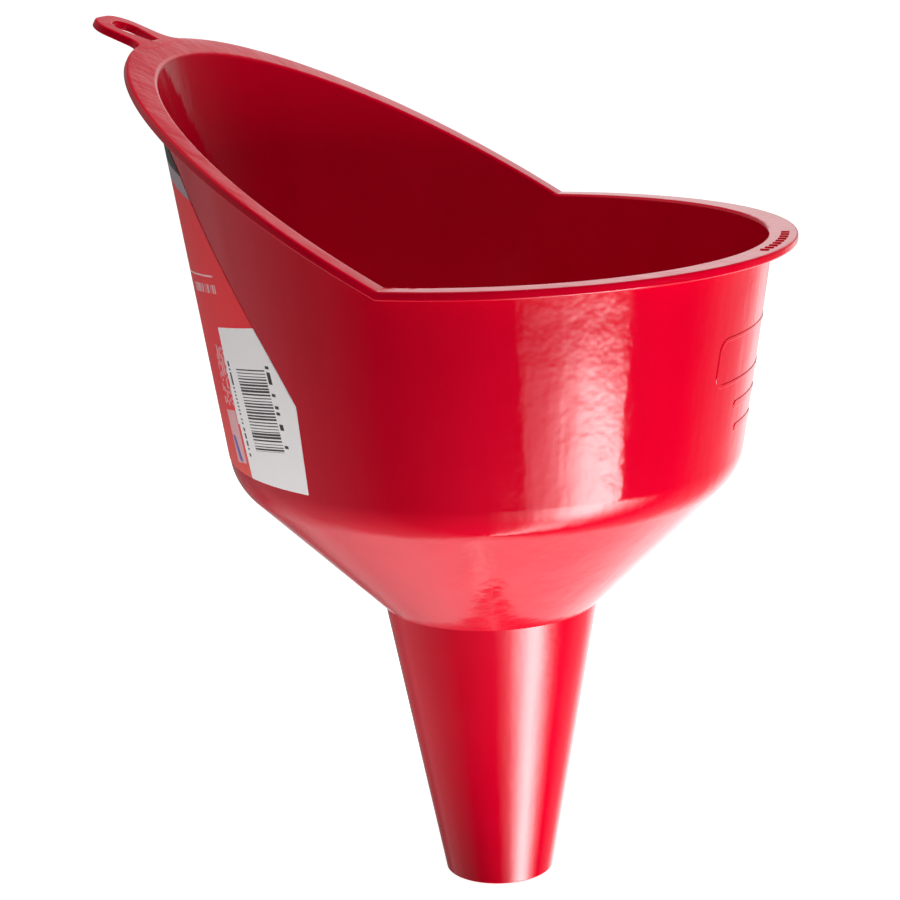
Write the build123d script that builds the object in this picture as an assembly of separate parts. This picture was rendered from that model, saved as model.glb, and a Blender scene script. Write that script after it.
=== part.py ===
"""One-piece moulded funnel with a high splash guard at the back and a hang loop.

The real funnel is a single polyethylene moulding with one adhesive label.  Here the
moulding is divided at its natural boundaries into closed solids that meet face to
face: spout, cone, front and rear wall, front and rear rim, hang loop, and the small
raised marks.  The label is a solid of its own.

Frame: origin at the centre of the spout's open end, +Z up along the funnel's axis,
+X towards the low front lip.  The funnel is symmetric about the XZ plane.
All lengths are in millimetres and all angles in degrees.
"""

import os
from math import atan, cos, radians, sin, sqrt, tan

from build123d import *

# ---- driving dimensions -----------------------------------------------------------

wall = 1.7                      # moulded wall, measured level

spout_tip_radius = 16.9         # outside, at the open end
spout_top_radius = 33.1         # outside, where the cone begins
spout_length = 88.9

shoulder_radius = 77.7          # outside, where the cone would meet the wall unrounded
shoulder_height = 132.6
shoulder_round = 18.0

rim_height = 203.1              # level front rim, top face
rim_wall_radius = 88.0          # outside of the wall at that height
rim_thickness = 2.6
rim_edge_round = 0.7
front_rim_radius = 93.3
front_rim_offset = 1.8          # the front rim is a little wider at the front

guard_tilt = 30.1               # rear rim plane, rising backwards from the X = 0 line
rear_rim_shift = 10.6           # centre of the rear rim's ellipse, up that plane
rear_rim_half_length = 108.6

loop_tilt = 23.0                # hang loop plane, flatter than the rear rim
loop_reach = 18.8               # loop's tip, beyond the rim's outline
loop_half_width = 10.3
loop_corner = 7.8
loop_thickness = 2.6
loop_root_round = 5.0
loop_sink = 0.4                 # the loop's top face lies this far below the rim's
loop_overlap = 6.0              # drawn this far into the rim, then cut to its outline
slot_radius = 5.1               # teardrop slot: its large end
slot_centre = 8.9               # beyond the rim's outline
slot_root_radius = 2.2          # and its small end
slot_root_centre = -0.5

label_film = 0.2
label_base = 139.9
label_top = 241.0
label_waist_height = 166.5      # widest point, above which the sides lean in
label_base_half_width = 72.7
label_waist_half_width = 76.5
label_flank_half_width = 70.4
label_flank_height = 199.7
label_shoulder_half_width = 56.9
label_shoulder_height = 231.3
label_shoulder_direction = (-1.0, 1.0)
label_top_half_width = 36.0

mark_height = 0.35
panel_half_width = 28.0         # plain raised border on the front wall
panel_base = 164.0
panel_top = 179.0
panel_line = 1.2
panel_corner = 4.0
bar_half_widths = (14.0, 11.0)
bar_heights = (157.0, 149.5)
bar_width = 2.4
rim_bar_count = 9
rim_bar_length = 2.6
rim_bar_width = 1.1
rim_bar_radius = 91.2
rim_bar_span = 20.0

# ---- derived dimensions -----------------------------------------------------------

spout_slope = (spout_top_radius - spout_tip_radius) / spout_length
cone_slope = (shoulder_radius - spout_top_radius) / (shoulder_height - spout_length)
wall_slope = (rim_wall_radius - shoulder_radius) / (rim_height - shoulder_height)
cone_wall = wall / cos(atan(cone_slope))      # the same wall, measured level on the cone

cone_angle = atan(cone_slope)
draft_angle = atan(wall_slope)
round_tangent = shoulder_round * tan((cone_angle - draft_angle) / 2)
wall_start = (shoulder_radius + round_tangent * sin(draft_angle),
              shoulder_height + round_tangent * cos(draft_angle))

# where the inner faces of spout and cone meet
throat_height = ((spout_top_radius - cone_wall - cone_slope * spout_length
                  - spout_tip_radius + wall) / (spout_slope - cone_slope))
throat_radius = spout_tip_radius - wall + spout_slope * throat_height

guard_height = 280.0            # above the whole guard, for the blanks it is cut from
blank = 1000.0
crease_half_width = sqrt(front_rim_radius ** 2 - front_rim_offset ** 2)
rear_rim_half_width = crease_half_width / sqrt(1 - (rear_rim_shift / rear_rim_half_length) ** 2)

# the tilted rear rim: local X runs up the slope, local Z out of its top face
crease = Plane(origin=(0, 0, rim_height),
               x_dir=(-cos(radians(guard_tilt)), 0, sin(radians(guard_tilt))),
               z_dir=(sin(radians(guard_tilt)), 0, cos(radians(guard_tilt))))


def outer_wall_radius(height):
    """Outside radius of the drafted wall at a height."""
    return rim_wall_radius + wall_slope * (height - rim_height)


def turned(points):
    """Solid of revolution about Z from a closed outline of (radius, height) points."""
    outline = Polyline(*[(radius, 0, height) for radius, height in points], close=True)
    return revolve(make_face(outline), axis=Axis.Z)


def half_space(plane):
    """A large block on the +Z side of a plane."""
    return plane * Box(blank, blank, blank, align=(Align.CENTER, Align.CENTER, Align.MIN))


def wall_shell(thickness):
    """A skin of one thickness on the outside of the drafted wall."""
    low, high = wall_start[1], guard_height
    return turned([(outer_wall_radius(low), low),
                   (outer_wall_radius(low) + thickness, low),
                   (outer_wall_radius(high) + thickness, high),
                   (outer_wall_radius(high), high)])


# ---- spout and cone ---------------------------------------------------------------

spout = turned([(spout_tip_radius - wall, 0), (spout_tip_radius, 0),
                (spout_top_radius, spout_length), (throat_radius, throat_height)])


def make_cone():
    """Cone with its rounded shoulder, from the spout up to the start of the wall."""
    arc_middle_angle = (cone_angle + draft_angle) / 2
    centre = (wall_start[0] - shoulder_round * cos(draft_angle),
              wall_start[1] + shoulder_round * sin(draft_angle))

    def shoulder_arc(radius):
        ends = [(centre[0] + radius * cos(a), 0, centre[1] - radius * sin(a))
                for a in (cone_angle, arc_middle_angle, draft_angle)]
        return ThreePointArc(*ends), ends[0], ends[2]

    outer, outer_low, outer_high = shoulder_arc(shoulder_round)
    inner, inner_low, inner_high = shoulder_arc(shoulder_round - wall * cos(draft_angle))
    edges = [Line((spout_top_radius, 0, spout_length), outer_low), outer,
             Line(outer_high, inner_high), inner,
             Line(inner_low, (throat_radius, 0, throat_height)),
             Line((throat_radius, 0, throat_height), (spout_top_radius, 0, spout_length))]
    return revolve(make_face(edges), axis=Axis.Z), inner_high


cone, wall_inner_start = make_cone()

# ---- bowl walls -------------------------------------------------------------------

inner_radius_start = wall_inner_start[0]
inner_height_start = wall_inner_start[2]


def inner_wall_radius(height):
    """Inside radius of the drafted wall at a height."""
    return inner_radius_start + wall_slope * (height - inner_height_start)


wall_band = turned([(inner_radius_start, inner_height_start), wall_start,
                    (outer_wall_radius(guard_height), guard_height),
                    (inner_wall_radius(guard_height), guard_height)])

above_front_rim = half_space(Plane.XY.offset(rim_height - rim_thickness))
above_rear_rim = half_space(crease.offset(-rim_thickness))
wall_band -= above_front_rim & above_rear_rim

front_side = half_space(Plane.YZ)
front_wall = wall_band & front_side
rear_wall = wall_band - front_side

# ---- rims -------------------------------------------------------------------------

bowl_space = turned([(0, inner_height_start), (inner_radius_start, inner_height_start),
                     (inner_wall_radius(guard_height), guard_height), (0, guard_height)])

# the two rims meet on a mitre that halves the angle between their top faces
mitre = Plane(origin=(0, 0, rim_height), x_dir=(0, 1, 0),
              z_dir=(cos(radians(guard_tilt / 2)), 0, -sin(radians(guard_tilt / 2))))
ahead_of_mitre = half_space(mitre)

front_disc = extrude(Plane.XY.offset(rim_height) * Pos(front_rim_offset, 0)
                     * Circle(front_rim_radius), amount=-rim_thickness)
front_disc = fillet(front_disc.edges(), rim_edge_round)
front_rim = (front_disc & ahead_of_mitre) - bowl_space

rear_disc = extrude(crease * Pos(rear_rim_shift, 0)
                    * Ellipse(rear_rim_half_length, rear_rim_half_width),
                    amount=-rim_thickness)
rear_disc = fillet(rear_disc.edges(), rim_edge_round)
rear_rim = (rear_disc - ahead_of_mitre) - bowl_space

# ---- hang loop --------------------------------------------------------------------

rim_end = crease.from_local_coords(Vector(rear_rim_shift + rear_rim_half_length, 0, -loop_sink))
loop_plane = Plane(origin=rim_end,
                   x_dir=(-cos(radians(loop_tilt)), 0, sin(radians(loop_tilt))),
                   z_dir=(sin(radians(loop_tilt)), 0, cos(radians(loop_tilt))))


def loop_outline():
    """Rounded tongue with concave roots that run tangent into the rim's outline."""
    rim_curve = rear_rim_half_width ** 2 / rear_rim_half_length
    root_y = loop_half_width + loop_root_round
    root_x = sqrt((rim_curve + loop_root_round) ** 2 - root_y ** 2) - rim_curve
    onto_rim = rim_curve / (rim_curve + loop_root_round)
    rim_point = ((root_x + rim_curve) * onto_rim - rim_curve, root_y * onto_rim)
    bow = atan(root_y / (root_x + rim_curve)) / 2 + radians(45)
    root_middle = (root_x - loop_root_round * sin(bow), root_y - loop_root_round * cos(bow))
    corner_x = loop_reach - loop_corner
    corner_y = loop_half_width - loop_corner
    corner_middle = (corner_x + loop_corner * sin(radians(45)),
                     corner_y + loop_corner * cos(radians(45)))
    half = [Line((-loop_overlap, 0), (-loop_overlap, rim_point[1])),
            Line((-loop_overlap, rim_point[1]), rim_point),
            ThreePointArc(rim_point, root_middle, (root_x, loop_half_width)),
            Line((root_x, loop_half_width), (corner_x, loop_half_width)),
            ThreePointArc((corner_x, loop_half_width), corner_middle, (loop_reach, corner_y)),
            Line((loop_reach, corner_y), (loop_reach, 0))]
    return make_face(half + [edge.mirror(Plane.XZ) for edge in half])


slot_ends = (Pos(slot_centre, 0) * Circle(slot_radius)
             + Pos(slot_root_centre, 0) * Circle(slot_root_radius))
slot = extrude(loop_plane * make_hull(slot_ends.edges()), amount=loop_thickness * 2, both=True)
rim_column = extrude(crease * Pos(rear_rim_shift, 0)
                     * Ellipse(rear_rim_half_length, rear_rim_half_width),
                     amount=loop_thickness * 4, both=True)

hang_loop = extrude(loop_plane * loop_outline(), amount=-loop_thickness) - rim_column - slot
rear_rim -= slot

# ---- raised marks: plain shapes, no lettering -------------------------------------


def on_wall(outline, towards, thickness):
    """A thin pad on the wall, with an outline drawn in the YZ plane."""
    return extrude(Plane.YZ * outline, amount=blank * towards) & wall_shell(thickness)


panel_middle = (panel_base + panel_top) / 2
panel_size = (panel_half_width * 2, panel_top - panel_base)
panel_border = (RectangleRounded(*panel_size, panel_corner)
                - RectangleRounded(panel_size[0] - 2 * panel_line, panel_size[1] - 2 * panel_line,
                                   panel_corner - panel_line))
wall_marks = [on_wall(Pos(0, panel_middle) * panel_border, 1, mark_height)]
for half_width, height in zip(bar_half_widths, bar_heights):
    bar = Pos(0, height) * SlotOverall(half_width * 2, bar_width)
    wall_marks.append(on_wall(bar, 1, mark_height))

rim_marks = []
for step in range(rim_bar_count):
    turn = rim_bar_span * (step / (rim_bar_count - 1) - 0.5)
    bar = Pos(rim_bar_radius, 0, rim_height) * Box(
        rim_bar_length, rim_bar_width, mark_height, align=(Align.CENTER, Align.CENTER, Align.MIN))
    rim_marks.append(Rot(0, 0, turn) * bar)

# ---- label ------------------------------------------------------------------------


def label_outline():
    """Printed label: straight foot, sides that lean in above the waist, rounded top."""
    base = (label_base_half_width, label_base)
    waist = (label_waist_half_width, label_waist_height)
    flank = (label_flank_half_width, label_flank_height)
    shoulder = (label_shoulder_half_width, label_shoulder_height)
    top = (label_top_half_width, label_top)
    half = [Line((0, label_base), base),
            Line(base, waist),
            ThreePointArc(waist, flank, shoulder),
            Spline(shoulder, top, tangents=[label_shoulder_direction, (-1, 0)]),
            Line(top, (0, label_top))]
    return make_face(half + [edge.mirror(Plane.YZ) for edge in half])


label = on_wall(label_outline(), -1, label_film)

# ---- export -----------------------------------------------------------------------

nodes = {
    "spout": spout,
    "cone": cone,
    "front_wall": front_wall,
    "rear_wall": rear_wall,
    "front_rim": front_rim,
    "rear_rim": rear_rim,
    "hang_loop": hang_loop,
    "wall_marks": Compound(children=[Compound(pad.solids()) for pad in wall_marks]),
    "rim_marks": Compound(children=rim_marks),
    "label": label,
}

os.makedirs("parts", exist_ok=True)
for name, shape in nodes.items():
    export_step(shape, f"parts/{name}.step")
    box = shape.bounding_box()
    print(f"{name:12s} solids {len(shape.solids())}  volume {shape.volume:9.1f} mm3  "
          f"X {box.min.X:7.1f} to {box.max.X:6.1f}  Y {box.min.Y:6.1f} to {box.max.Y:5.1f}  "
          f"Z {box.min.Z:6.1f} to {box.max.Z:6.1f}")
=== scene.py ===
from math import atan, atan2, cos, hypot, pi, radians, sin, sqrt, tan

import bmesh
import bpy
from mathutils import Matrix, Vector


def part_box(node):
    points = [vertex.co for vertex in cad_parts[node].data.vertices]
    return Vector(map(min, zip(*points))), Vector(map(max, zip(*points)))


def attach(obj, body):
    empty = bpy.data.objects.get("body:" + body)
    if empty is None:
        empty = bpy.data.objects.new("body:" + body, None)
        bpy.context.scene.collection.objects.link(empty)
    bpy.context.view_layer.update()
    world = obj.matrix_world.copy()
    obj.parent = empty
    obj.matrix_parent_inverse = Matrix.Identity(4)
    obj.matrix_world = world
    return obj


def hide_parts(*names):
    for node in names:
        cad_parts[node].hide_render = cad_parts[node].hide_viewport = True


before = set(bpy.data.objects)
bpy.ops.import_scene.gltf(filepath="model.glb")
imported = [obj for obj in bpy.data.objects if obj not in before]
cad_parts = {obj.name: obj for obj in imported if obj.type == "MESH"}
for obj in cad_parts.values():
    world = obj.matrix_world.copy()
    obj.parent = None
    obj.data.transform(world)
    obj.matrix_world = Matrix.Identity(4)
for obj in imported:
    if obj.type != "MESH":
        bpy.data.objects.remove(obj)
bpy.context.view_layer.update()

# ---- bowl -----------------------------------------------------------------------------
# Injection moulding in glossy red polyethylene, with a skin of even thickness.  Behind the
# level front rim the wall rises into a splash guard with a tilted rim.  The section is drawn at
# the front, spun, and then drawn up into the guard.


def new_group(name, inputs, outputs):
    """An empty node group with float inputs, as (name, value), and (name, socket type) outputs."""
    group = bpy.data.node_groups.new(name, "ShaderNodeTree")
    for label, value in inputs:
        socket = group.interface.new_socket(label, in_out="INPUT", socket_type="NodeSocketFloat")
        socket.default_value = value
    for label, kind in outputs:
        group.interface.new_socket(label, in_out="OUTPUT", socket_type=kind)
    return group, group.nodes.new("NodeGroupInput"), group.nodes.new("NodeGroupOutput")


def add_node(tree, kind, links=(), **settings):
    """A node with its settings, and its inputs set to values or joined to other sockets."""
    node = tree.nodes.new(kind)
    for name, value in settings.items():
        setattr(node, name, value)
    for name, value in dict(links).items():
        if isinstance(value, bpy.types.NodeSocket):
            tree.links.new(value, node.inputs[name])
        else:
            node.inputs[name].default_value = value
    return node


def maths(tree, operation, *values):
    """The output of one calculation on values or sockets."""
    return add_node(tree, "ShaderNodeMath", dict(enumerate(values)), operation=operation).outputs[0]


def moulded_skin():
    """Node group: flow marks up from the spout, hair scratches and unevenness of a moulded skin."""
    group, given, made = new_group(
        "moulded_skin",
        [("Scratches", 1.0), ("Flow marks", 1.0)],
        [("Tone", "NodeSocketFloat"), ("Roughness", "NodeSocketFloat"), ("Height", "NodeSocketFloat")])
    place = add_node(group, "ShaderNodeTexCoord").outputs["Object"]
    upright = add_node(group, "ShaderNodeMapping", {"Vector": place, "Scale": (70.0, 70.0, 9.0)})
    flow = add_node(group, "ShaderNodeTexNoise",
                    {"Vector": upright.outputs[0], "Scale": 1.0, "Detail": 3.0, "Roughness": 0.55})
    cloud = add_node(group, "ShaderNodeTexNoise",
                     {"Vector": place, "Scale": 38.0, "Detail": 4.0, "Roughness": 0.6})
    turned = add_node(group, "ShaderNodeMapping",
                      {"Vector": place, "Rotation": (0.4, 0.5, 0.9), "Scale": (1600.0, 60.0, 90.0)})
    hairs = add_node(group, "ShaderNodeTexNoise",
                     {"Vector": turned.outputs[0], "Scale": 1.0, "Detail": 2.0, "Roughness": 0.5})
    thin = add_node(group, "ShaderNodeMapRange",
                    {"Value": hairs.outputs["Fac"], "From Min": 0.66, "From Max": 0.74})
    hair = maths(group, "MULTIPLY", thin.outputs[0], given.outputs["Scratches"])
    marks = maths(group, "MULTIPLY", flow.outputs["Fac"], given.outputs["Flow marks"])
    tone = maths(group, "MULTIPLY_ADD", cloud.outputs["Fac"], 0.6, marks)
    rough = maths(group, "MULTIPLY_ADD", hair, 0.35, cloud.outputs["Fac"])
    height = maths(group, "MULTIPLY_ADD", hair, -0.01, maths(group, "ADD", marks, cloud.outputs["Fac"]))
    group.links.new(tone, made.inputs["Tone"])
    group.links.new(rough, made.inputs["Roughness"])
    group.links.new(height, made.inputs["Height"])
    return group


skin = moulded_skin()


def red_plastic(name, scratches, bump, shine=0.5):
    """Glossy pigmented polyethylene, with its own share of scratches and unevenness."""
    material = bpy.data.materials.new(name)
    material.use_nodes = True
    tree = material.node_tree
    shader = tree.nodes["Principled BSDF"]
    effect = add_node(tree, "ShaderNodeGroup", node_tree=skin)
    effect.inputs["Scratches"].default_value = scratches
    colour = add_node(tree, "ShaderNodeMix",
                      {"Factor": effect.outputs["Tone"],
                       "A": (0.42, 0.0, 0.010, 1), "B": (0.49, 0.0, 0.015, 1)}, data_type="RGBA")
    gloss = add_node(tree, "ShaderNodeMapRange",
                     {"Value": effect.outputs["Roughness"], "To Min": 0.05, "To Max": 0.14})
    relief = add_node(tree, "ShaderNodeBump",
                      {"Height": effect.outputs["Height"], "Strength": bump, "Distance": 0.001})
    tree.links.new(colour.outputs["Result"], shader.inputs["Base Color"])
    tree.links.new(gloss.outputs[0], shader.inputs["Roughness"])
    tree.links.new(relief.outputs[0], shader.inputs["Normal"])
    shader.inputs["Specular IOR Level"].default_value = shine
    return material


skin_thickness = 0.0017
neck_radius, neck_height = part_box("spout")[1].x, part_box("cone")[0].z
tip_radius = 0.0169                           # outside of the spout's open end
rim_height, rim_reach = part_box("front_rim")[1].z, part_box("front_rim")[1].x
rim_thickness = rim_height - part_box("front_rim")[0].z
rim_half_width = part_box("front_rim")[1].y
rim_offset = rim_reach - rim_half_width

shoulder_radius, shoulder_height, shoulder_round = 0.0777, 0.1326, 0.018
wall_top_radius = 0.0880                      # outside, level with the top of the front rim
guard_tilt = radians(30.1)
guard_rim_shift, guard_rim_half_length = 0.0106, 0.1086
crown_width, crown_drop = 0.0056, 0.00035     # the rims fall slightly towards their edge,
far_crown = 0.2                               # less so away from the hang loop
crown_hold, crown_fade = radians(8), radians(14)
lip_round, mouth_round, corner_round = 0.0007, 0.0012, 0.0006
columns = 360
side_on = 1e-6                                # cosines below this are square to the axis
stays, mouth_side, rim_edge, rim_root = range(4)

wall_slope = (wall_top_radius - shoulder_radius) / (rim_height - shoulder_height)
cone_slope = (shoulder_radius - neck_radius) / (shoulder_height - neck_height)
draft, flare = atan(wall_slope), atan(cone_slope)
mouth_radius = wall_top_radius - skin_thickness
crease_half_width = sqrt(rim_half_width ** 2 - rim_offset ** 2)
guard_rim_half_width = crease_half_width / sqrt(1 - (guard_rim_shift / guard_rim_half_length) ** 2)
guard_normal = Vector((sin(guard_tilt), 0, cos(guard_tilt)))


def start_section(bm, x, z):
    """The first point of a section in the XZ plane."""
    return bm.verts.new((x, 0, z))


def straight(bm, start, x, z):
    """A straight stretch of a section, to a new point."""
    end = bm.verts.new((x, 0, z))
    bm.edges.new((start, end))
    return end


def rounded(bm, start, centre, turn, steps):
    """A round stretch of a section about a centre; a positive turn goes from up to outwards."""
    arc = bmesh.ops.spin(bm, geom=[start], cent=(centre[0], 0, centre[1]), axis=(0, 1, 0),
                         angle=turn, steps=steps)
    return [v for v in arc["geom_last"] if isinstance(v, bmesh.types.BMVert)][0]


def face_outwards(bm):
    """Turns the faces of a closed mesh outwards."""
    bmesh.ops.recalc_face_normals(bm, faces=bm.faces[:])
    if bm.calc_volume(signed=True) < 0:
        bmesh.ops.reverse_faces(bm, faces=bm.faces[:])


def spin_section(bm):
    """Spins a closed section round the funnel's axis."""
    bmesh.ops.spin(bm, geom=bm.verts[:] + bm.edges[:], cent=(0, 0, 0), axis=(0, 0, 1),
                   angle=2 * pi, steps=columns, use_merge=True)
    bmesh.ops.remove_doubles(bm, verts=bm.verts[:], dist=1e-7)
    face_outwards(bm)


def finished_piece(bm, name, material, slot, *nodes, crease=30):
    """Turns a bmesh into a piece of the funnel's one rigid body, smooth apart from its creases."""
    mesh = bpy.data.meshes.new(name)
    bm.to_mesh(mesh)
    bm.free()
    mesh.shade_smooth()
    mesh.set_sharp_from_angle(angle=radians(crease))
    mesh.materials.append(material)
    piece = bpy.data.objects.new(name, mesh)
    bpy.context.scene.collection.objects.link(piece)
    weighted = piece.modifiers.new("even shading", "WEIGHTED_NORMAL")
    weighted.keep_sharp = True
    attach(piece, "root")
    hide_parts(*nodes)


def bowl_section(bm, part):
    """The bowl's closed section at the front; the layer says what each point moves with."""
    wall_x = shoulder_radius + shoulder_round * tan((flare - draft) / 2) * sin(draft)
    wall_z = shoulder_height + shoulder_round * tan((flare - draft) / 2) * cos(draft)
    centre = (wall_x - shoulder_round * cos(draft), wall_z + shoulder_round * sin(draft))
    inner_round = shoulder_round - skin_thickness * cos(draft)
    under = rim_height - rim_thickness
    wall_x_under = wall_top_radius + wall_slope * (under - rim_height)
    lip_x, lip_low, lip_high = rim_reach - lip_round, under + lip_round, rim_height - lip_round

    def point_on(round_radius, angle):
        return centre[0] + round_radius * cos(angle), centre[1] - round_radius * sin(angle)

    def moves_with(first, group):
        """Marks every point drawn since the first one as moving with a group."""
        bm.verts.ensure_lookup_table()
        for v in bm.verts[first:]:
            v[part] = group

    # outside, upwards
    begin = start_section(bm, neck_radius, neck_height)
    pen = straight(bm, begin, *point_on(shoulder_round, flare))
    pen = rounded(bm, pen, centre, draft - flare, 12)
    drawn = len(bm.verts)
    # underside of the rim
    bite = corner_round * tan((pi / 2 - draft) / 2)
    pen = straight(bm, pen, wall_x_under - bite * sin(draft), under - bite * cos(draft))
    root = (wall_x_under + bite, under - corner_round)
    pen = rounded(bm, pen, root, pi / 2 - draft, 4)
    moves_with(drawn, rim_root)
    drawn = len(bm.verts)
    pen = straight(bm, pen, rim_reach - crown_width, under)
    pen = straight(bm, pen, rim_reach - crown_width / 2, under)
    pen = straight(bm, pen, lip_x, under)
    pen = rounded(bm, pen, (lip_x, lip_low), -pi / 2, 5)
    pen = straight(bm, pen, rim_reach, lip_high)
    pen = rounded(bm, pen, (lip_x, lip_high), -pi / 2, 5)
    for step in range(1, 8):
        pen = straight(bm, pen, lip_x - (crown_width - lip_round) * step / 7, rim_height)
    moves_with(drawn, rim_edge)
    drawn = len(bm.verts)
    # inside, downwards
    mouth_bite = mouth_round * tan((pi / 2 - draft) / 2)
    mouth = (mouth_radius + mouth_bite, rim_height - mouth_round)
    pen = straight(bm, pen, mouth[0], rim_height)
    pen = rounded(bm, pen, mouth, draft - pi / 2, 8)
    moves_with(drawn, mouth_side)
    drawn = len(bm.verts)
    pen = straight(bm, pen, *point_on(inner_round, draft))
    pen = rounded(bm, pen, centre, flare - draft, 10)
    level_skin = skin_thickness / cos(flare)
    spout_slope = (neck_radius - tip_radius) / neck_height
    throat_z = ((neck_radius - level_skin - cone_slope * neck_height - tip_radius + skin_thickness)
                / (spout_slope - cone_slope))
    pen = straight(bm, pen, tip_radius - skin_thickness + spout_slope * throat_z, throat_z)
    bm.edges.new((pen, begin))
    moves_with(drawn, stays)


def rim_at(turn):
    """Mouth corner, outline and under corner of the rim at an angle, with its two directions."""
    c, s = cos(turn), sin(turn)
    behind = c < -side_on
    if c > side_on:
        rise, normal = 0.0, Vector((0, 0, 1))
        reach = rim_offset * c + sqrt(rim_half_width ** 2 - (rim_offset * s) ** 2)
    else:
        rise = tan(guard_tilt)
        normal = guard_normal if behind else Vector((tan(guard_tilt / 2), 0, 1))
        centre, half = -guard_rim_shift * cos(guard_tilt), guard_rim_half_length * cos(guard_tilt)
        square = (c / half) ** 2 + (s / guard_rim_half_width) ** 2
        linear = -2 * c * centre / half ** 2
        rest = (centre / half) ** 2 - 1
        reach = (-linear + sqrt(linear ** 2 - 4 * square * rest)) / (2 * square)
    steepness = 1 + wall_slope * c * rise
    drop = rim_thickness * (1 / cos(guard_tilt) if behind else 1)

    def on_plane(radius, below=0.0):
        return Vector((radius * c, radius * s, rim_height - radius * c * rise - below))

    under = on_plane((wall_top_radius - wall_slope * drop) / steepness, drop)
    if under.z < rim_height - rim_thickness:
        radius = wall_top_radius - wall_slope * rim_thickness
        under = Vector((radius * c, radius * s, rim_height - rim_thickness))
    outwards = Vector((c, s, -c * rise)).normalized()
    down_wall = Vector((-wall_slope * c, -wall_slope * s, -1)).normalized()
    return on_plane(mouth_radius / steepness), on_plane(reach), under, outwards, down_wall, normal


def crown_share(turn):
    """How much of the crown the guard's rim has: all at the hang loop, little further away."""
    away = min(1.0, max(0.0, (pi - abs(turn) - crown_hold) / crown_fade))
    return 1 - (1 - far_crown) * away * away * (3 - 2 * away)


def draw_up_guard(bm, part):
    """Moves every point of the spun rim to where the real rim has it."""
    lean = sqrt(1 + wall_slope ** 2)
    for v in bm.verts:
        if v[part] == stays:
            continue
        radius, turn = hypot(v.co.x, v.co.y), atan2(v.co.y, v.co.x)
        mouth, outline, under, outwards, down_wall, normal = rim_at(turn)
        if v[part] == mouth_side:
            down = (rim_height - v.co.z) * lean
            v.co = mouth + outwards * (radius - mouth_radius + down / lean * wall_slope) + down_wall * down
        elif v[part] == rim_edge:
            inside = rim_reach - radius
            share = far_crown * sin(turn) ** 2 if cos(turn) > 0 else crown_share(turn)
            crown = crown_drop * max(0.0, 1 - inside / crown_width) ** 2 * share
            v.co = outline - outwards * inside + normal * (v.co.z - rim_height - crown)
        else:
            below = (rim_height - rim_thickness - v.co.z) * lean
            wall_x_under = wall_top_radius - wall_slope * rim_thickness
            v.co = under + outwards * (radius - wall_x_under + below / lean * wall_slope) + down_wall * below


bowl_mesh = bmesh.new()
bowl_part = bowl_mesh.verts.layers.int.new("part")
bowl_section(bowl_mesh, bowl_part)
spin_section(bowl_mesh)
draw_up_guard(bowl_mesh, bowl_part)
finished_piece(bowl_mesh, "bowl", red_plastic("bowl_plastic", 1.0, 0.25), "moulded_plastic",
               "cone", "front_wall", "rear_wall", "front_rim", "rear_rim")

# ---- spout ----------------------------------------------------------------------------
# Long tapered tube below the cone, moulded in one with it from the same plastic.  Its open end
# is square, and the mould leaves both edges of the end slightly rounded.

tip_outer_round, tip_inner_round = 0.0005, 0.0004

spout_taper = atan((neck_radius - tip_radius) / neck_height)


def spout_section(bm):
    """The spout's closed section, from the neck down outside and up again inside."""
    slope = tan(spout_taper)
    bore = tip_radius - skin_thickness
    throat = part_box("spout")[1].z
    outer_bite = tip_outer_round * tan((pi / 2 - spout_taper) / 2)
    inner_bite = tip_inner_round * tan((pi / 2 + spout_taper) / 2)
    begin = start_section(bm, neck_radius, neck_height)
    pen = straight(bm, begin, tip_radius + outer_bite * sin(spout_taper), outer_bite * cos(spout_taper))
    pen = rounded(bm, pen, (tip_radius - outer_bite, tip_outer_round), pi / 2 - spout_taper, 4)
    pen = straight(bm, pen, bore + inner_bite, 0)
    pen = rounded(bm, pen, (bore + inner_bite, tip_inner_round), pi / 2 + spout_taper, 4)
    pen = straight(bm, pen, bore + slope * throat, throat)
    bm.edges.new((pen, begin))


spout_mesh = bmesh.new()
spout_section(spout_mesh)
spin_section(spout_mesh)
finished_piece(spout_mesh, "spout", red_plastic("spout_plastic", 0.8, 0.15), "moulded_plastic", "spout")

# ---- hang loop ------------------------------------------------------------------------
# Flat tongue of the same plastic with a teardrop slot, moulded on to the highest point of the
# guard's rim.  Its top runs on from the crowned rim, and its roots are rounded into the rim.

loop_reach, loop_half_width = 0.0186, 0.0103
loop_corner, loop_root_round, loop_edge_round = 0.0078, 0.005, 0.0007
loop_thickness, loop_overlap, loop_cover = 0.0026, 0.0052, 0.00002
slot_radius, slot_centre = 0.0051, 0.0089
slot_root_radius, slot_root_centre = 0.0022, -0.0005
tail_start, tail_fall = 0.004, 0.02           # the tongue's inner end sinks into the rim
first_bend, bend_strip = -0.0045, 0.0009

loop_slope = 2 * crown_drop / crown_width     # the slope of the crowned rim's edge
guard_rim_end = (Vector((0, 0, rim_height))
                 + (guard_rim_shift + guard_rim_half_length)
                 * Vector((-cos(guard_tilt), 0, sin(guard_tilt))))
guard_plane = Matrix((Vector((-cos(guard_tilt), 0, sin(guard_tilt))), Vector((0, -1, 0)),
                      guard_normal)).transposed()
rim_bend = guard_rim_half_width ** 2 / guard_rim_half_length


def turn_point(bm, start, centre, turn, steps):
    """A round stretch of an outline in the XY plane, anticlockwise if the turn is positive."""
    arc = bmesh.ops.spin(bm, geom=[start], cent=(*centre, 0), axis=(0, 0, 1), angle=turn, steps=steps)
    return [v for v in arc["geom_last"] if isinstance(v, bmesh.types.BMVert)][0]


def flat_line(bm, start, x, y):
    """A straight stretch of an outline in the XY plane, to a new point."""
    end = bm.verts.new((x, y, 0))
    bm.edges.new((start, end))
    return end


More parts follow.
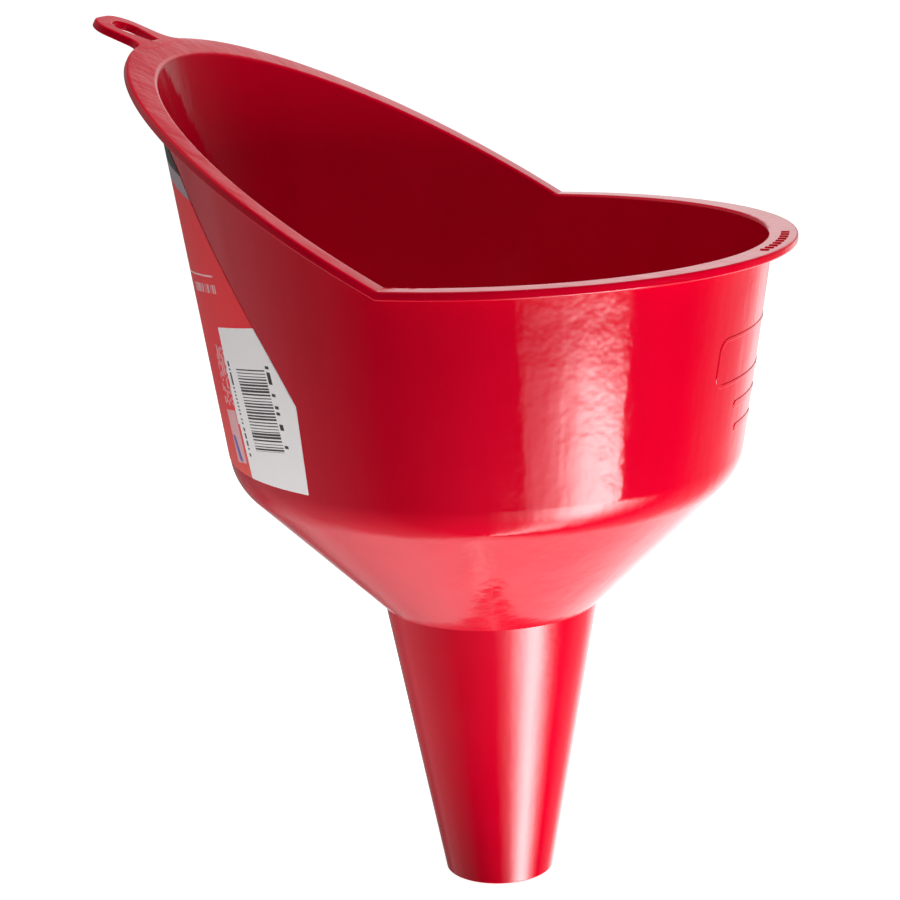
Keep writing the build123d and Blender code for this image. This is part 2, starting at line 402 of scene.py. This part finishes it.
def tongue_outline(bm):
    """Half of the tongue's outline, mirrored: from inside the rim round the tip and back."""
    root_y = loop_half_width + loop_root_round
    root_x = sqrt((rim_bend + loop_root_round) ** 2 - root_y ** 2) - rim_bend
    onto_rim = rim_bend / (rim_bend + loop_root_round)
    rim_x, rim_y = (root_x + rim_bend) * onto_rim - rim_bend, root_y * onto_rim
    pen = bm.verts.new((-loop_overlap, 0, 0))
    pen = flat_line(bm, pen, -loop_overlap, -rim_y)
    pen = flat_line(bm, pen, rim_x, -rim_y)
    pen = turn_point(bm, pen, (root_x, -root_y), -atan2(root_x + rim_bend, root_y), 8)
    pen = flat_line(bm, pen, loop_reach - loop_corner, -loop_half_width)
    pen = turn_point(bm, pen, (loop_reach - loop_corner, loop_corner - loop_half_width), pi / 2, 12)
    flat_line(bm, pen, loop_reach, 0)


def slot_outline(bm):
    """Half of the teardrop slot's outline: two arcs and the line that touches both."""
    lean = atan2(slot_radius - slot_root_radius, slot_centre - slot_root_centre)
    pen = bm.verts.new((slot_root_centre - slot_root_radius, 0, 0))
    pen = turn_point(bm, pen, (slot_root_centre, 0), pi / 2 - lean, 8)
    pen = flat_line(bm, pen, slot_centre - slot_radius * sin(lean), -slot_radius * cos(lean))
    turn_point(bm, pen, (slot_centre, 0), pi / 2 + lean, 12)


def plate_from_outlines(bm, thickness, edge_round):
    """Mirrors half outlines, fills them, gives them thickness and rounds their long edges."""
    bmesh.ops.mirror(bm, geom=bm.verts[:] + bm.edges[:], axis="Y", merge_dist=1e-7)
    bmesh.ops.remove_doubles(bm, verts=bm.verts[:], dist=1e-7)
    bmesh.ops.triangle_fill(bm, use_beauty=True, use_dissolve=True, edges=bm.edges[:])
    base = bm.faces[:]
    made = bmesh.ops.extrude_face_region(bm, geom=base, use_keep_orig=True)
    bmesh.ops.translate(bm, vec=(0, 0, -thickness),
                        verts=[v for v in made["geom"] if isinstance(v, bmesh.types.BMVert)])
    bmesh.ops.recalc_face_normals(bm, faces=bm.faces[:])
    rims = [e for e in bm.edges if len(e.link_faces) == 2 and e.calc_face_angle() > radians(60)
            and abs(e.verts[0].co.z - e.verts[1].co.z) < 1e-7]
    bmesh.ops.bevel(bm, geom=rims, offset=edge_round, offset_type="OFFSET", segments=4, profile=0.5,
                    affect="EDGES", material=-1, clamp_overlap=True)


def cut_in_strips(bm, axis, low, high, step):
    """Cuts a mesh across an axis at even steps, so that it can be bent."""
    place = low
    while place < high:
        bmesh.ops.bisect_plane(bm, geom=bm.verts[:] + bm.edges[:] + bm.faces[:], dist=1e-7,
                               plane_co=axis * place, plane_no=axis)
        place += step


def bend_loop(bm):
    """Lays the flat tongue over the crowned rim and lets it run on at the same slope."""
    for v in bm.verts:
        inside = -(v.co.x + v.co.y ** 2 / (2 * rim_bend))
        if inside > 0:
            drop = crown_drop * max(0.0, 1 - inside / crown_width) ** 2
            drop += tail_fall * max(0.0, inside - tail_start)
        else:
            drop = crown_drop - loop_slope * inside
        v.co.z += loop_cover - drop
        v.co = guard_rim_end + guard_plane @ v.co


loop_mesh = bmesh.new()
tongue_outline(loop_mesh)
slot_outline(loop_mesh)
plate_from_outlines(loop_mesh, loop_thickness, loop_edge_round)
cut_in_strips(loop_mesh, Vector((1, 0, 0)), first_bend, loop_reach, bend_strip)
bend_loop(loop_mesh)
face_outwards(loop_mesh)
finished_piece(loop_mesh, "hang_loop", red_plastic("loop_plastic", 1.0, 0.1, 0.2), "moulded_plastic",
               "hang_loop")

# ---- marks on the front wall ----------------------------------------------------------
# A raised rounded border with two raised bars below it, in the same plastic.  They are moulded
# in one with the front of the bowl, and the mould leaves their edges soft.

mark_height, mark_round = 0.00022, 0.0002
panel_half_width, panel_base, panel_top = 0.028, 0.164, 0.179
panel_line, panel_corner = 0.0012, 0.004
wall_bars = ((0.014, 0.157), (0.011, 0.1495))     # half width, height of the middle
wall_bar_half_height, wall_bar_corner = 0.0012, 0.00119
mark_strip = 0.002


def lay_on_wall(bm, side):
    """Lays a mesh drawn with X as its height over the wall on to the drafted wall."""
    for v in bm.verts:
        radius = wall_top_radius + wall_slope * (v.co.z - rim_height) + v.co.x
        v.co.x = side * sqrt(radius ** 2 - v.co.y ** 2)


def half_frame(bm, half_width, base, top, corner):
    """Half of a rounded rectangle's outline, drawn about the Y axis as (height, width)."""
    pen = bm.verts.new((base, 0, 0))
    pen = flat_line(bm, pen, base, corner - half_width)
    pen = turn_point(bm, pen, (base + corner, corner - half_width), pi / 2, 8)
    pen = flat_line(bm, pen, top - corner, -half_width)
    pen = turn_point(bm, pen, (top - corner, corner - half_width), pi / 2, 8)
    flat_line(bm, pen, top, 0)


def add_to(whole, part):
    """Moves one mesh into another."""
    scratch = bpy.data.meshes.new("part")
    part.to_mesh(scratch)
    part.free()
    whole.from_mesh(scratch)
    bpy.data.meshes.remove(scratch)


def raised_mark(whole, *frames):
    """Adds a mark to the marks' mesh: a rounded rectangle, or one with another cut out of it."""
    mark = bmesh.new()
    for sizes in frames:
        half_frame(mark, *sizes)
    plate_from_outlines(mark, mark_height * 2, mark_round)
    cut_in_strips(mark, Vector((0, 1, 0)), -panel_half_width, panel_half_width, mark_strip)
    for v in mark.verts:
        v.co = Vector((v.co.z + mark_height, v.co.y, v.co.x))
    lay_on_wall(mark, 1)
    face_outwards(mark)
    add_to(whole, mark)


marks_mesh = bmesh.new()
raised_mark(marks_mesh, (panel_half_width, panel_base, panel_top, panel_corner),
            (panel_half_width - panel_line, panel_base + panel_line, panel_top - panel_line,
             panel_corner - panel_line))
for half_width, middle in wall_bars:
    raised_mark(marks_mesh, (half_width, middle - wall_bar_half_height, middle + wall_bar_half_height,
                             wall_bar_corner))
finished_piece(marks_mesh, "wall_marks", red_plastic("wall_marks_plastic", 0.5, 0.1), "moulded_plastic",
               "wall_marks")

# ---- marks on the front rim -----------------------------------------------------------
# A row of short raised bars with domed tops, in the same plastic, moulded in one with the
# level rim at the front of the bowl.

bar_count, bar_row_radius, bar_row_spread = 9, 0.0912, 20
bar_size, bar_round = (0.0026, 0.0011, 0.0007), 0.00033

rim_bars = bmesh.new()
for number in range(bar_count):
    bar_mesh = bmesh.new()
    bar = bmesh.ops.create_cube(bar_mesh, size=1.0)["verts"]
    bmesh.ops.scale(bar_mesh, vec=bar_size, verts=bar)
    top_edges = {e for v in bar for e in v.link_edges if e.verts[0].co.z > 0 and e.verts[1].co.z > 0}
    bmesh.ops.bevel(bar_mesh, geom=list(top_edges), offset=bar_round, offset_type="OFFSET", segments=4,
                    profile=0.5, affect="EDGES", material=-1, clamp_overlap=True)
    bearing = radians(bar_row_spread * (number / (bar_count - 1) - 0.5))
    onto_rim = Matrix.Rotation(bearing, 4, "Z") @ Matrix.Translation((bar_row_radius, 0, rim_height))
    bmesh.ops.transform(bar_mesh, matrix=onto_rim, verts=bar_mesh.verts[:])
    add_to(rim_bars, bar_mesh)
finished_piece(rim_bars, "rim_marks", red_plastic("rim_marks_plastic", 0.5, 0.1), "moulded_plastic",
               "rim_marks", crease=50)

# ---- label ----------------------------------------------------------------------------
# Printed self-adhesive film stuck round the back of the bowl: a straight foot, sides that lean
# in above the waist and a rounded top.  The print is plain shapes, rows of dashes and a pattern
# of stripes.

label_lift, label_film = 0.00015, 0.00012
label_base, label_waist, label_flank = (0.0727, 0.1399), (0.0765, 0.1665), (0.0704, 0.1997)
label_shoulder, label_top = (0.0569, 0.2313), (0.036, 0.241)
shoulder_pull, top_pull = 0.006, 0.009
strip_width, strips_reach = 0.002, 0.076      # flat strips that follow the round wall
row_height, rows_base, rows_top = 0.008, 0.146, 0.24


def centre_of_arc(a, b, c):
    """Centre of the circle through three points of a plane."""
    (ax, ay), (bx, by), (cx, cy) = a, b, c
    twice = 2 * (ax * (by - cy) + bx * (cy - ay) + cx * (ay - by))
    a2, b2, c2 = ax * ax + ay * ay, bx * bx + by * by, cx * cx + cy * cy
    return ((a2 * (by - cy) + b2 * (cy - ay) + c2 * (ay - by)) / twice,
            (a2 * (cx - bx) + b2 * (ax - cx) + c2 * (bx - ax)) / twice)


def half_label(bm):
    """Half of the label's outline, as (height, width) about the X axis."""
    pen = bm.verts.new((label_base[1], 0, 0))
    pen = flat_line(bm, pen, label_base[1], -label_base[0])
    pen = flat_line(bm, pen, label_waist[1], -label_waist[0])
    mid = centre_of_arc(label_waist, label_flank, label_shoulder)
    sweep = (atan2(label_shoulder[1] - mid[1], label_shoulder[0] - mid[0])
             - atan2(label_waist[1] - mid[1], label_waist[0] - mid[0]))
    pen = turn_point(bm, pen, (mid[1], -mid[0]), sweep, 12)
    for step in range(1, 9):
        t = step / 8
        weights = ((1 - t) ** 3, 3 * t * (1 - t) ** 2, 3 * t * t * (1 - t), t ** 3)
        width = (label_shoulder[0], label_shoulder[0] - shoulder_pull, label_top[0] + top_pull, label_top[0])
        height = (label_shoulder[1], label_shoulder[1] + shoulder_pull, label_top[1], label_top[1])
        pen = flat_line(bm, pen, sum(w * h for w, h in zip(weights, height)),
                        -sum(w * h for w, h in zip(weights, width)))
    flat_line(bm, pen, label_top[1], 0)


label_mesh = bmesh.new()
half_label(label_mesh)
plate_from_outlines(label_mesh, label_film, label_film / 4)
cut_in_strips(label_mesh, Vector((0, 1, 0)), -strips_reach, strips_reach, strip_width)
cut_in_strips(label_mesh, Vector((1, 0, 0)), rows_base, rows_top, row_height)
for v in label_mesh.verts:
    v.co = Vector((v.co.z + label_lift, v.co.y, v.co.x))
lay_on_wall(label_mesh, -1)
face_outwards(label_mesh)


def print_place():
    """Node group: degrees round the bowl from its back, and millimetres above the spout's end."""
    group, _, made = new_group("print_place", [], [("Around", "NodeSocketFloat"), ("Up", "NodeSocketFloat")])
    place = add_node(group, "ShaderNodeSeparateXYZ",
                     {0: add_node(group, "ShaderNodeTexCoord").outputs["Object"]}).outputs
    turn = maths(group, "ARCTAN2", place["Y"], maths(group, "MULTIPLY", place["X"], -1.0))
    group.links.new(maths(group, "DEGREES", turn), made.inputs["Around"])
    group.links.new(maths(group, "MULTIPLY", place["Z"], 1000.0), made.inputs["Up"])
    return group


def printed_patch():
    """Node group: 1 inside a four-sided patch, whose sides may lean and whose ends may slope."""
    group, given, made = new_group(
        "printed_patch",
        [("Around", 0.0), ("Up", 0.0), ("Middle", 0.0), ("Half width", 1.0), ("Base", 0.0), ("Top", 1.0),
         ("Lean", 0.0), ("Slope", 0.0)],
        [("Mask", "NodeSocketFloat")])
    given = given.outputs
    aside = maths(group, "SUBTRACT", given["Around"], given["Middle"])
    above = maths(group, "SUBTRACT", given["Up"], given["Base"])
    across = maths(group, "SUBTRACT", aside, maths(group, "MULTIPLY", above, given["Lean"]))
    level = maths(group, "SUBTRACT", above, maths(group, "MULTIPLY", aside, given["Slope"]))
    half_height = maths(group, "MULTIPLY", maths(group, "SUBTRACT", given["Top"], given["Base"]), 0.5)
    mask = maths(group, "MULTIPLY", maths(group, "COMPARE", across, 0.0, given["Half width"]),
                 maths(group, "COMPARE", level, half_height, half_height))
    group.links.new(mask, made.inputs["Mask"])
    return group


def printed_dashes():
    """Node group: rows of uneven dashes, in cells of a size along the rows and across them."""
    group, given, made = new_group(
        "printed_dashes", [("Along", 0.0), ("Across", 0.0), ("Cell", 1.0), ("Row", 1.0), ("Ink", 0.6)],
        [("Mask", "NodeSocketFloat")])
    given = given.outputs
    along = maths(group, "DIVIDE", given["Along"], given["Cell"])
    across = maths(group, "DIVIDE", given["Across"], given["Row"])
    cell = add_node(group, "ShaderNodeCombineXYZ",
                    {"X": maths(group, "FLOOR", along), "Y": maths(group, "FLOOR", across)}).outputs[0]
    chance = add_node(group, "ShaderNodeTexWhiteNoise", {"Vector": cell}, noise_dimensions="2D")
    inked = maths(group, "LESS_THAN", chance.outputs["Value"], given["Ink"])
    mask = maths(group, "MULTIPLY", inked,
                 maths(group, "COMPARE", maths(group, "FRACT", across), 0.5, 0.3))
    group.links.new(mask, made.inputs["Mask"])
    return group


def label_print():
    """Glossy film: red ground, black head with a grey band, white panels, dashes and stripes.

    Patches are placed by the middle and the half width in degrees, and by the base and the top
    in millimetres above the spout's end.
    """
    material = bpy.data.materials.new("label_print")
    material.use_nodes = True
    tree = material.node_tree
    shader = tree.nodes["Principled BSDF"]
    place = add_node(tree, "ShaderNodeGroup", node_tree=print_place()).outputs
    around, up = place["Around"], place["Up"]
    from_back = maths(tree, "ABSOLUTE", around)
    patches, dashes = printed_patch(), printed_dashes()
    paper, ink = (0.92, 0.88, 0.88), (0.05, 0.04, 0.04)
    black, grey = (0.012, 0.01, 0.011), (0.36, 0.28, 0.31)
    pale, line, blue, painted_reflection_red = (0.80, 0.42, 0.44), (0.9, 0.55, 0.55), (0.13, 0.13, 0.45), (0.9, 0.16, 0.12)

    def patch(across, middle, half_width, base, top, lean=0.0, slope=0.0):
        """1 inside a patch of the label."""
        node = add_node(tree, "ShaderNodeGroup",
                        {"Around": across, "Up": up, "Middle": middle, "Half width": half_width,
                         "Base": base, "Top": top, "Lean": lean, "Slope": slope}, node_tree=patches)
        return node.outputs["Mask"]

    def rows(along, across, cell, row, ink, within):
        """1 on the dashes that fill a patch."""
        node = add_node(tree, "ShaderNodeGroup",
                        {"Along": along, "Across": across, "Cell": cell, "Row": row, "Ink": ink},
                        node_tree=dashes)
        return maths(tree, "MULTIPLY", node.outputs["Mask"], within)

    def inked(under, mask, colour):
        """The print so far, with one more colour where the mask is 1."""
        mix = add_node(tree, "ShaderNodeMix", {"Factor": mask, "A": under, "B": (*colour, 1)},
                       data_type="RGBA")
        return mix.outputs["Result"]

    wear = add_node(tree, "ShaderNodeTexNoise",
                    {"Vector": add_node(tree, "ShaderNodeTexCoord").outputs["Object"], "Scale": 60.0})
    ground = add_node(tree, "ShaderNodeMix", {"Factor": wear.outputs["Fac"], "A": (0.80, 0.015, 0.025, 1),
                                              "B": (0.92, 0.025, 0.035, 1)}, data_type="RGBA")
    # painted reflection: from 165 mm down to 140 mm the red ground is blended up to half-way into a paler
    # orange red; this stands in for a reflection on the film and is not part of the print
    foot = add_node(tree, "ShaderNodeMapRange",
                    {"Value": up, "From Min": 165.0, "From Max": 140.0, "To Max": 0.5})
    colour = inked(ground.outputs["Result"], foot.outputs[0], painted_reflection_red)

    # head, grey band, line and dashes
    colour = inked(colour, patch(around, 0.0, 90.0, 228.0, 260.0), black)
    colour = inked(colour, patch(from_back, 41.7, 90.0, 222.4, 228.0, 0.0, -0.28), grey)
    colour = inked(colour, patch(from_back, 36.0, 10.7, 199.0, 199.5, 0.0, 0.13), line)
    row_of_dashes = patch(from_back, 40.0, 7.0, 194.6, 197.2, 0.0, 0.14)
    colour = inked(colour, rows(around, up, 0.28, 400.0, 0.62, row_of_dashes), pale)
    column_of_dashes = patch(from_back, 42.0, 2.7, 160.0, 179.0, 0.02)
    colour = inked(colour, rows(up, around, 0.8, 1.15, 0.55, column_of_dashes), pale)
    colour = inked(colour, patch(from_back, 42.6, 2.8, 143.4, 159.6, -0.06, 0.2), pale)
    colour = inked(colour, patch(from_back, 42.5, 0.9, 143.8, 151.4, -0.25), blue)

    # white panels on both sides, with the stripes on one of them
    colour = inked(colour, patch(from_back, 64.9, 20.0, 160.0, 189.2, -0.025, 0.2), paper)
    colour = inked(colour, patch(from_back, 67.7, 20.0, 130.0, 168.0, -0.075), paper)
    stripes = patch(around, -56.8, 5.4, 150.6, 175.3, 0.085, -0.18)
    stripe = maths(tree, "DIVIDE", maths(tree, "MULTIPLY_ADD", from_back, -0.18, up), 0.92)
    chance = add_node(tree, "ShaderNodeTexWhiteNoise", {"W": maths(tree, "FLOOR", stripe)},
                      noise_dimensions="1D").outputs["Value"]
    width = maths(tree, "MULTIPLY_ADD", chance, 0.55, 0.22)
    bars = maths(tree, "LESS_THAN", maths(tree, "FRACT", stripe), width)
    colour = inked(colour, maths(tree, "MULTIPLY", bars, stripes), ink)
    beside = patch(around, -63.4, 0.55, 149.0, 178.0, 0.085)
    colour = inked(colour, rows(up, 0.5, 0.9, 1.0, 0.5, beside), ink)
    notes = patch(from_back, 48.3, 0.4, 147.0, 177.0, -0.08)
    colour = inked(colour, rows(up, 0.5, 0.55, 1.0, 0.6, notes), ink)
    other_side = patch(around, 57.0, 6.5, 146.0, 180.0)
    colour = inked(colour, rows(around, up, 1.1, 3.4, 0.8, other_side), ink)

    rough = add_node(tree, "ShaderNodeMapRange",
                     {"Value": wear.outputs["Fac"], "To Min": 0.3, "To Max": 0.45})
    relief = add_node(tree, "ShaderNodeBump",
                      {"Height": wear.outputs["Fac"], "Strength": 0.15, "Distance": 0.0003})
    tree.links.new(colour, shader.inputs["Base Color"])
    tree.links.new(rough.outputs[0], shader.inputs["Roughness"])
    tree.links.new(relief.outputs[0], shader.inputs["Normal"])
    shader.inputs["Specular IOR Level"].default_value = 0.35
    return material


finished_piece(label_mesh, "label", label_print(), "label_film", "label")

# ---- studio ---------------------------------------------------------------------------
# A pale floor that glows like a lit table, one soft lamp low on the right and one overhead.
# What the plastic mirrors is laid out by direction in the world: a tall strip lamp right of the
# camera, bright walls to the right and behind the funnel, and darkness behind the camera.

scene = bpy.context.scene
scene.view_settings.view_transform = "Standard"


def ramp(tree, factor, stops, interpolation="LINEAR"):
    """A grey colour ramp from (place, tone) stops."""
    node = add_node(tree, "ShaderNodeValToRGB", {"Fac": factor})
    node.color_ramp.interpolation = interpolation
    while len(node.color_ramp.elements) < len(stops):
        node.color_ramp.elements.new(0.5)
    for element, (place, tone) in zip(node.color_ramp.elements, stops):
        element.position = place
        element.color = (tone, tone, tone, 1)
    return node.outputs["Color"]


def around(*stops):
    """Stops given as (degrees from +X, tone), for a ramp that runs from -180 to 180 degrees."""
    return [((angle + 180) / 360, tone) for angle, tone in stops]


def raised(*stops):
    """Stops given as (degrees above the horizon, tone), for a ramp over -90 to 90 degrees."""
    return [((angle + 90) / 180, tone) for angle, tone in stops]


world = bpy.data.worlds.new("studio")
world.use_nodes = True
sky = world.node_tree
direction = add_node(sky, "ShaderNodeSeparateXYZ",
                     {0: add_node(sky, "ShaderNodeTexCoord").outputs["Generated"]})
bearing = maths(sky, "ARCTAN2", direction.outputs["Y"], direction.outputs["X"])
bearing = maths(sky, "MULTIPLY_ADD", bearing, 1 / (2 * pi), 0.5)
climb = maths(sky, "MULTIPLY_ADD", maths(sky, "ARCSINE", direction.outputs["Z"]), 1 / pi, 0.5)

right_by_bearing = ramp(sky, bearing, around(
    (18, 0.0), (28, 0.05), (38, 0.24), (50, 0.40), (60, 0.6), (62.5, 0.62), (64.5, 0.9), (68, 0.8),
    (78, 0.0)))
right_by_climb = ramp(sky, climb, raised((-90, 1.0), (-17, 1.0), (-12, 0.45), (-6, 0.15), (90, 0.1)))
back_by_bearing = ramp(sky, bearing, around(
    (64, 0.0), (68, 0.15), (78, 0.95), (83, 1.0), (112, 1.0), (119, 0.1), (121, 0.0)))
left_by_bearing = ramp(sky, bearing, around((108, 0.0), (119, 1.0), (150, 1.0), (165, 0.3), (175, 0.0)))
dark_by_bearing = ramp(sky, bearing, around(
    (-180, 0.4), (-172, 0.4), (-158, 0.3), (-150, 0.24), (-140, 0.18), (-128, 0.08), (-119, 0.01),
    (-115, 0.0), (150, 0.0), (165, 0.35), (180, 0.4)))
back_lean, back_lean_offset = 0.7, -0.5289
leant_climb = maths(sky, "MULTIPLY_ADD", bearing, back_lean, back_lean_offset)
leant_climb = maths(sky, "ADD", climb, leant_climb)
back_by_climb = ramp(sky, leant_climb, raised(
    (-90, 0.65), (-71, 0.68), (-65, 0.72), (-60, 0.76), (-52, 0.84), (-41, 0.97), (-26, 0.92), (-17, 0.8),
    (-11, 0.5), (-5, 0.25), (5, 0.25), (9, 0.45), (12, 0.65), (15.5, 0.56), (21, 0.53), (23, 0.42),
    (26, 0.30), (27.5, 0.19), (31, 0.09), (60, 0.06)))
left_by_climb = ramp(sky, climb, raised(
    (-90, 0.65), (-64, 0.65), (-57, 0.53), (-50, 0.41), (-46, 0.34), (-38, 0.32), (-30, 0.09), (-24, 0.12),
    (20, 0.12), (26, 0.06)))
sweep = maths(sky, "ADD", maths(sky, "MULTIPLY", back_by_bearing, back_by_climb),
              maths(sky, "MULTIPLY", left_by_bearing, left_by_climb))
wall_power, strip_power = 1.7, 17.0
sweep = maths(sky, "MULTIPLY_ADD", sweep, wall_power, dark_by_bearing)
sweep = maths(sky, "MULTIPLY_ADD", right_by_bearing, right_by_climb, sweep)
strip_on_wall = ramp(sky, bearing, around(
    (-58, 0.0), (-56, 0.06), (-53, 0.09), (-46.6, 0.13), (-40, 0.23), (-33, 0.60), (-26, 0.93), (-18, 1.0),
    (-12.5, 0.92), (-11, 0.9), (-10, 0.02), (-9, 0.0)))
strip_on_spout = ramp(sky, bearing, around(
    (-72, 0.0), (-64, 0.03), (-57, 0.07), (-51, 0.13), (-41, 0.42), (-33, 0.75), (-26, 0.98), (-18, 1.0),
    (-5, 0.5), (3, 0.22), (11, 0.06), (20, 0.0)))
lower = ramp(sky, climb, raised((-36, 1.0), (-32, 0.0)))
strip = add_node(sky, "ShaderNodeMix", {"Factor": lower, "A": strip_on_wall, "B": strip_on_spout},
                 data_type="RGBA").outputs["Result"]
strip_by_climb = ramp(sky, climb, raised(
    (-60, 0.3), (-45, 0.9), (-37, 1.0), (-31, 0.97), (-29, 0.94), (-28.2, 0.72), (-27.3, 0.4), (-26.6, 0.28),
    (-26.1, 0.15), (-25.4, 0.04), (-24.5, 0.0)))
strip = maths(sky, "MULTIPLY", strip, strip_by_climb)
mirrored = maths(sky, "MULTIPLY_ADD", strip, strip_power, sweep)

ray = add_node(sky, "ShaderNodeLightPath")
fill = 0.16                                   # on the funnel; the camera sees full white
ambient = maths(sky, "MULTIPLY_ADD", ray.outputs["Is Camera Ray"], 1 - fill, fill)
glow = add_node(sky, "ShaderNodeMix", {"Factor": ray.outputs["Is Glossy Ray"], "A": ambient, "B": mirrored},
                data_type="FLOAT").outputs["Result"]
sky.links.new(glow, sky.nodes["Background"].inputs["Strength"])
sky.nodes["Background"].inputs["Color"].default_value = (1, 1, 1, 1)
scene.world = world

floor_mesh = bmesh.new()
bmesh.ops.create_circle(floor_mesh, cap_ends=True, radius=6.0, segments=96)
floor_data = bpy.data.meshes.new("floor")
floor_mesh.to_mesh(floor_data)
floor_mesh.free()
floor_white = bpy.data.materials.new("floor_white")
floor_white.use_nodes = True
floor_tree = floor_white.node_tree
floor_shader = floor_tree.nodes["Principled BSDF"]
floor_shader.inputs["Base Color"].default_value = (0.6, 0.6, 0.6, 1)
floor_shader.inputs["Roughness"].default_value = 0.9
floor_shader.inputs["Emission Color"].default_value = (1, 1, 1, 1)
from_spout = add_node(floor_tree, "ShaderNodeVectorMath",
                      {0: add_node(floor_tree, "ShaderNodeTexCoord").outputs["Object"]},
                      operation="LENGTH").outputs["Value"]
table_power, seen_white = 2.1, 0.95
lit_ring = ramp(floor_tree, from_spout, [(0.06, 0.3), (0.1, 1.0), (0.2, 1.0), (0.26, 0.5), (0.4, 0.0)])
lit_ring = maths(floor_tree, "MULTIPLY", lit_ring, table_power)
floor_ray = add_node(floor_tree, "ShaderNodeLightPath")
floor_glow = add_node(floor_tree, "ShaderNodeMix",
                      {"Factor": floor_ray.outputs["Is Camera Ray"], "A": lit_ring, "B": seen_white},
                      data_type="FLOAT").outputs["Result"]
floor_tree.links.new(floor_glow, floor_shader.inputs["Emission Strength"])
floor_data.materials.append(floor_white)
floor = bpy.data.objects.new("floor", floor_data)
floor.visible_glossy = False
floor.visible_shadow = False
scene.collection.objects.link(floor)


bowl_middle = Vector((0, 0, 0.15))


def soft_lamp(name, bearing, climb, distance, size, power):
    """A square lamp that faces the middle of the bowl from a bearing and a climb in degrees."""
    data = bpy.data.lights.new(name, "AREA")
    data.size = size
    data.energy = power
    lamp = bpy.data.objects.new(name, data)
    towards = Vector((cos(radians(bearing)) * cos(radians(climb)),
                      sin(radians(bearing)) * cos(radians(climb)), sin(radians(climb))))
    lamp.location = bowl_middle + towards * distance
    lamp.rotation_euler = towards.to_track_quat("Z", "Y").to_euler()
    lamp.visible_camera = False
    lamp.visible_glossy = False
    scene.collection.objects.link(lamp)


soft_lamp("key_lamp", -7, -18, 1.2, 0.6, 21)
soft_lamp("top_lamp", -75, 88, 1.2, 0.5, 13.5)

camera_place = Vector((0.2242, -0.7073, 0.3214))
camera_right = Vector((0.95067, 0.30828, -0.03461))
camera_up = Vector((-0.04252, 0.24003, 0.96983))
camera_data = bpy.data.cameras.new("camera")
camera_data.lens = 99.37
camera_data.sensor_width = 36.0
camera_data.clip_start, camera_data.clip_end = 0.05, 50.0
camera = bpy.data.objects.new("camera", camera_data)
camera_turn = Matrix((camera_right, camera_up, camera_right.cross(camera_up))).transposed().to_4x4()
camera.matrix_world = Matrix.Translation(camera_place) @ camera_turn
scene.collection.objects.link(camera)
scene.camera = camera
